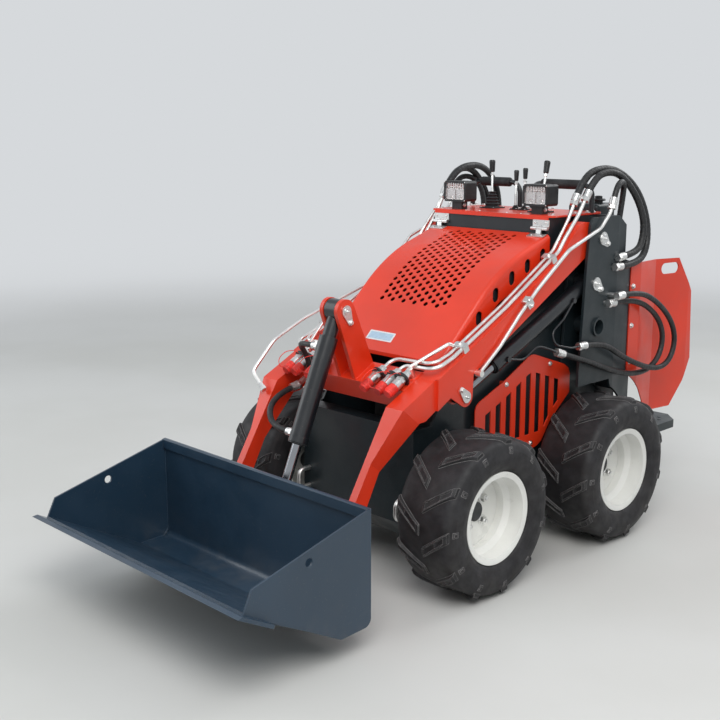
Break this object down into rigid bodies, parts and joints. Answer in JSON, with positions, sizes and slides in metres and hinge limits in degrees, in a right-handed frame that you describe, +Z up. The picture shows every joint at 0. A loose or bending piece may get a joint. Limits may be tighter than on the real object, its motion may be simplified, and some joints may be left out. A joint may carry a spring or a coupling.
{
  "type": "skid steer loader",
  "caption": "Compact stand-on skid steer loader with a lift boom, a tilting bucket, a hinged hood, hydraulic hoses and a rear platform.",
  "frame": {"origin": "middle of the machine's overall box on the ground under the tyres", "axes": "+X to the machine's left, +Y to its back, +Z up; the bucket is at the -Y end"},
  "size_m": [1.002, 2.3656, 1.2669],
  "materials": {
    "paint_red": "gloss",
    "paint_dark": "satin",
    "paint_bucket": "satin",
    "rim_white": "gloss",
    "tyre_rubber": "matt",
    "bare_steel": "satin",
    "rod_chrome": "polished",
    "engine_iron": "rough",
    "black_plastic": "matt",
    "cap_red": "matt",
    "soft_black": "matt",
    "lamp_glass": "clear",
    "hose_black": "matt"
  },
  "bodies": {
    "machine": {"chassis": "paint_dark", "engine_block": "engine_iron", "axle_housings": "engine_iron", "towers": "paint_dark", "tower_pins": "bare_steel", "hose_ports": "bare_steel", "console_box": "paint_dark", "console_top": "paint_red", "filler_cap": "black_plastic", "lamp_housings": "black_plastic", "lamp_lenses": "lamp_glass", "levers": "black_plastic", "lever_boots": "soft_black", "hand_rails": "soft_black", "side_panels": "paint_red", "shields": "paint_red", "platform": "paint_dark", "tie_hooks": "bare_steel", "hinge_leaves": "bare_steel", "hose_upper_left": "hose_black", "hose_upper_right": "hose_black", "hose_middle_left": "hose_black", "hose_middle_right": "hose_black", "hose_inner_left": "hose_black", "hose_inner_right": "hose_black", "hose_lift_rear_left": "hose_black", "hose_lift_rear_right": "hose_black", "hose_lift_front_left": "hose_black", "hose_lift_front_right": "hose_black"},
    "boom": {"boom_arms": "paint_red", "cross_member": "paint_red", "boom_pins": "bare_steel", "boom_pipes": "bare_steel", "pipe_clamps": "bare_steel", "couplers": "bare_steel", "coupler_brackets": "paint_dark", "dust_caps": "cap_red", "hose_tilt_upper": "hose_black", "hose_tilt_lower": "hose_black"},
    "lift_barrel_body": {"lift_barrels": "paint_dark", "lift_pipes": "bare_steel"},
    "lift_rod_body": {"lift_rods": "rod_chrome"},
    "tilt_barrel_body": {"tilt_barrel": "paint_dark"},
    "tilt_rod_body": {"tilt_rod": "rod_chrome"},
    "bucket_body": {"bucket": "paint_bucket", "quick_attach": "paint_dark"},
    "hood_body": {"hood": "paint_red", "hinge_flaps": "bare_steel"},
    "wheel_front_left": {"tyre_front_left": "tyre_rubber", "rim_front_left": "rim_white"},
    "wheel_front_right": {"tyre_front_right": "tyre_rubber", "rim_front_right": "rim_white"},
    "wheel_rear_left": {"tyre_rear_left": "tyre_rubber", "rim_rear_left": "rim_white"},
    "wheel_rear_right": {"tyre_rear_right": "tyre_rubber", "rim_rear_right": "rim_white"}
  },
  "joints": [
    {"name": "boom_lift", "type": "hinge", "parent": "machine", "child": "boom", "pos_m": [0, 0.502, 1.0135], "axis": [-1, 0, 0], "range_deg": [-2.5, 75], "deforming": ["hose_upper_left", "hose_upper_right", "hose_middle_left", "hose_middle_right", "hose_inner_left", "hose_inner_right"]},
    {"name": "lift_cylinder_swing", "type": "hinge", "parent": "machine", "child": "lift_barrel_body", "pos_m": [0, 0.472, 0.863], "axis": [-1, 0, 0], "range_deg": [-3, 76], "deforming": ["hose_lift_rear_left", "hose_lift_rear_right", "hose_lift_front_left", "hose_lift_front_right"]},
    {"name": "lift_rod_slide", "type": "slide", "parent": "lift_barrel_body", "child": "lift_rod_body", "axis": [0, -0.9167, -0.3996], "range_m": [-0.008, 0.19]},
    {"name": "bucket_tilt", "type": "hinge", "parent": "boom", "child": "bucket_body", "pos_m": [0, -0.67, 0.14], "axis": [1, 0, 0], "range_deg": [0, 115]},
    {"name": "tilt_cylinder_swing", "type": "hinge", "parent": "boom", "child": "tilt_barrel_body", "pos_m": [0, -0.404, 0.835], "axis": [1, 0, 0], "range_deg": [-9, 1], "deforming": ["hose_tilt_upper", "hose_tilt_lower"]},
    {"name": "tilt_rod_slide", "type": "slide", "parent": "tilt_barrel_body", "child": "tilt_rod_body", "axis": [0, -0.3923, -0.9198], "range_m": [-0.005, 0.25]},
    {"name": "hood_lid", "type": "hinge", "parent": "machine", "child": "hood_body", "pos_m": [0, 0.308, 1.051], "axis": [-1, 0, 0], "range_deg": [0, 60]},
    {"name": "wheel_front_left_turn", "type": "hinge", "parent": "machine", "child": "wheel_front_left", "pos_m": [0.391, -0.212, 0.248], "axis": [1, 0, 0], "continuous": true},
    {"name": "wheel_front_right_turn", "type": "hinge", "parent": "machine", "child": "wheel_front_right", "pos_m": [-0.391, -0.212, 0.248], "axis": [1, 0, 0], "continuous": true},
    {"name": "wheel_rear_left_turn", "type": "hinge", "parent": "machine", "child": "wheel_rear_left", "pos_m": [0.391, 0.462, 0.248], "axis": [1, 0, 0], "continuous": true},
    {"name": "wheel_rear_right_turn", "type": "hinge", "parent": "machine", "child": "wheel_rear_right", "pos_m": [-0.391, 0.462, 0.248], "axis": [1, 0, 0], "continuous": true}
  ],
  "couplings": [
    {"joint": "lift_cylinder_swing", "follows": "boom_lift", "ratio": 0.993},
    {"joint": "lift_rod_slide", "follows": "boom_lift", "m_per_rad": 0.14263},
    {"joint": "tilt_cylinder_swing", "follows": "bucket_tilt", "ratio": -0.046688},
    {"joint": "tilt_rod_slide", "follows": "bucket_tilt", "m_per_rad": 0.10616}
  ]
}
